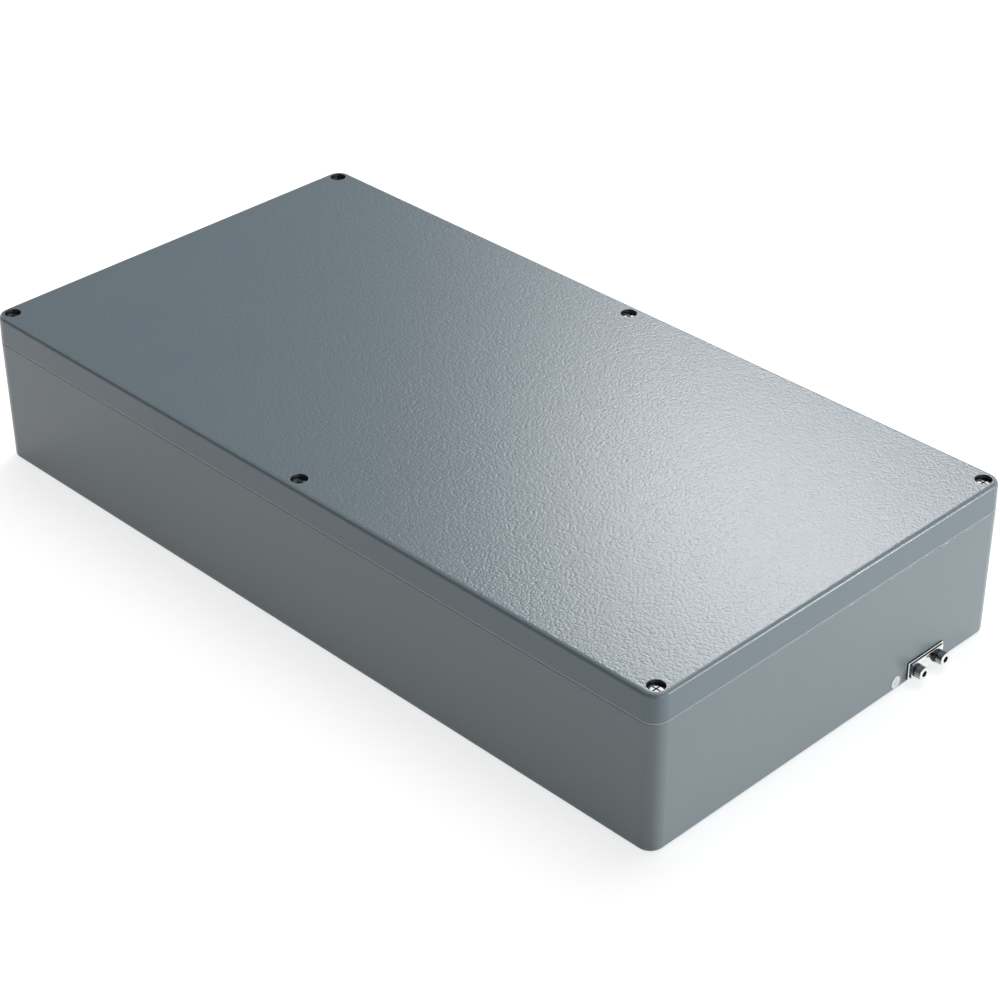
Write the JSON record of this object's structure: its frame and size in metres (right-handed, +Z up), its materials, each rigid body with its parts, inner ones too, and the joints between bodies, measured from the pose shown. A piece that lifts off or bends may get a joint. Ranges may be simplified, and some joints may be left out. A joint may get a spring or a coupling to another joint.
{
  "type": "die cast aluminium box",
  "caption": "Long flat die cast box with a screwed lid, a sealed rim, corner fixing holes under the lid and an outside earth terminal.",
  "frame": {"origin": "centre of the flat underside of the base, on the surface that the box rests on", "axes": "+X along the length, to the end wall with the outside earth terminal; +Y across the width, to the side that the terminal is nearer; +Z up, out through the lid"},
  "size_m": [0.6081, 0.31, 0.11],
  "materials": {
    "base_coat": "cast aluminium with a smooth semi-gloss silver grey powder coat",
    "lid_coat": "cast aluminium with a silver grey powder coat, finely grained on top",
    "seal_rubber": "soft black rubber cord",
    "lid_screw_steel": "turned stainless steel",
    "ring_plastic": "plain moulded nylon",
    "terminal_plate": "stamped stainless steel",
    "earth_steel": "bright stainless steel",
    "sign_disc": "thin glossy self-adhesive film"
  },
  "bodies": {
    "root": {"base": "base_coat", "lid": "lid_coat", "lid_gasket": "seal_rubber", "lid_screw_1": "lid_screw_steel", "lid_screw_2": "lid_screw_steel", "lid_screw_3": "lid_screw_steel", "lid_screw_4": "lid_screw_steel", "lid_screw_5": "lid_screw_steel", "lid_screw_6": "lid_screw_steel", "screw_ring_1": "ring_plastic", "screw_ring_2": "ring_plastic", "screw_ring_3": "ring_plastic", "screw_ring_4": "ring_plastic", "screw_ring_5": "ring_plastic", "screw_ring_6": "ring_plastic", "earth_back_plate": "terminal_plate", "earth_clamp_plate": "terminal_plate", "earth_screw_1": "earth_steel", "earth_screw_2": "earth_steel", "earth_spring_washer_1": "earth_steel", "earth_spring_washer_2": "earth_steel", "inner_earth_screw": "earth_steel", "inner_earth_spring_washer": "earth_steel", "inner_earth_clamp": "terminal_plate", "earth_sign_disc": "sign_disc"}
  },
  "joints": []
}
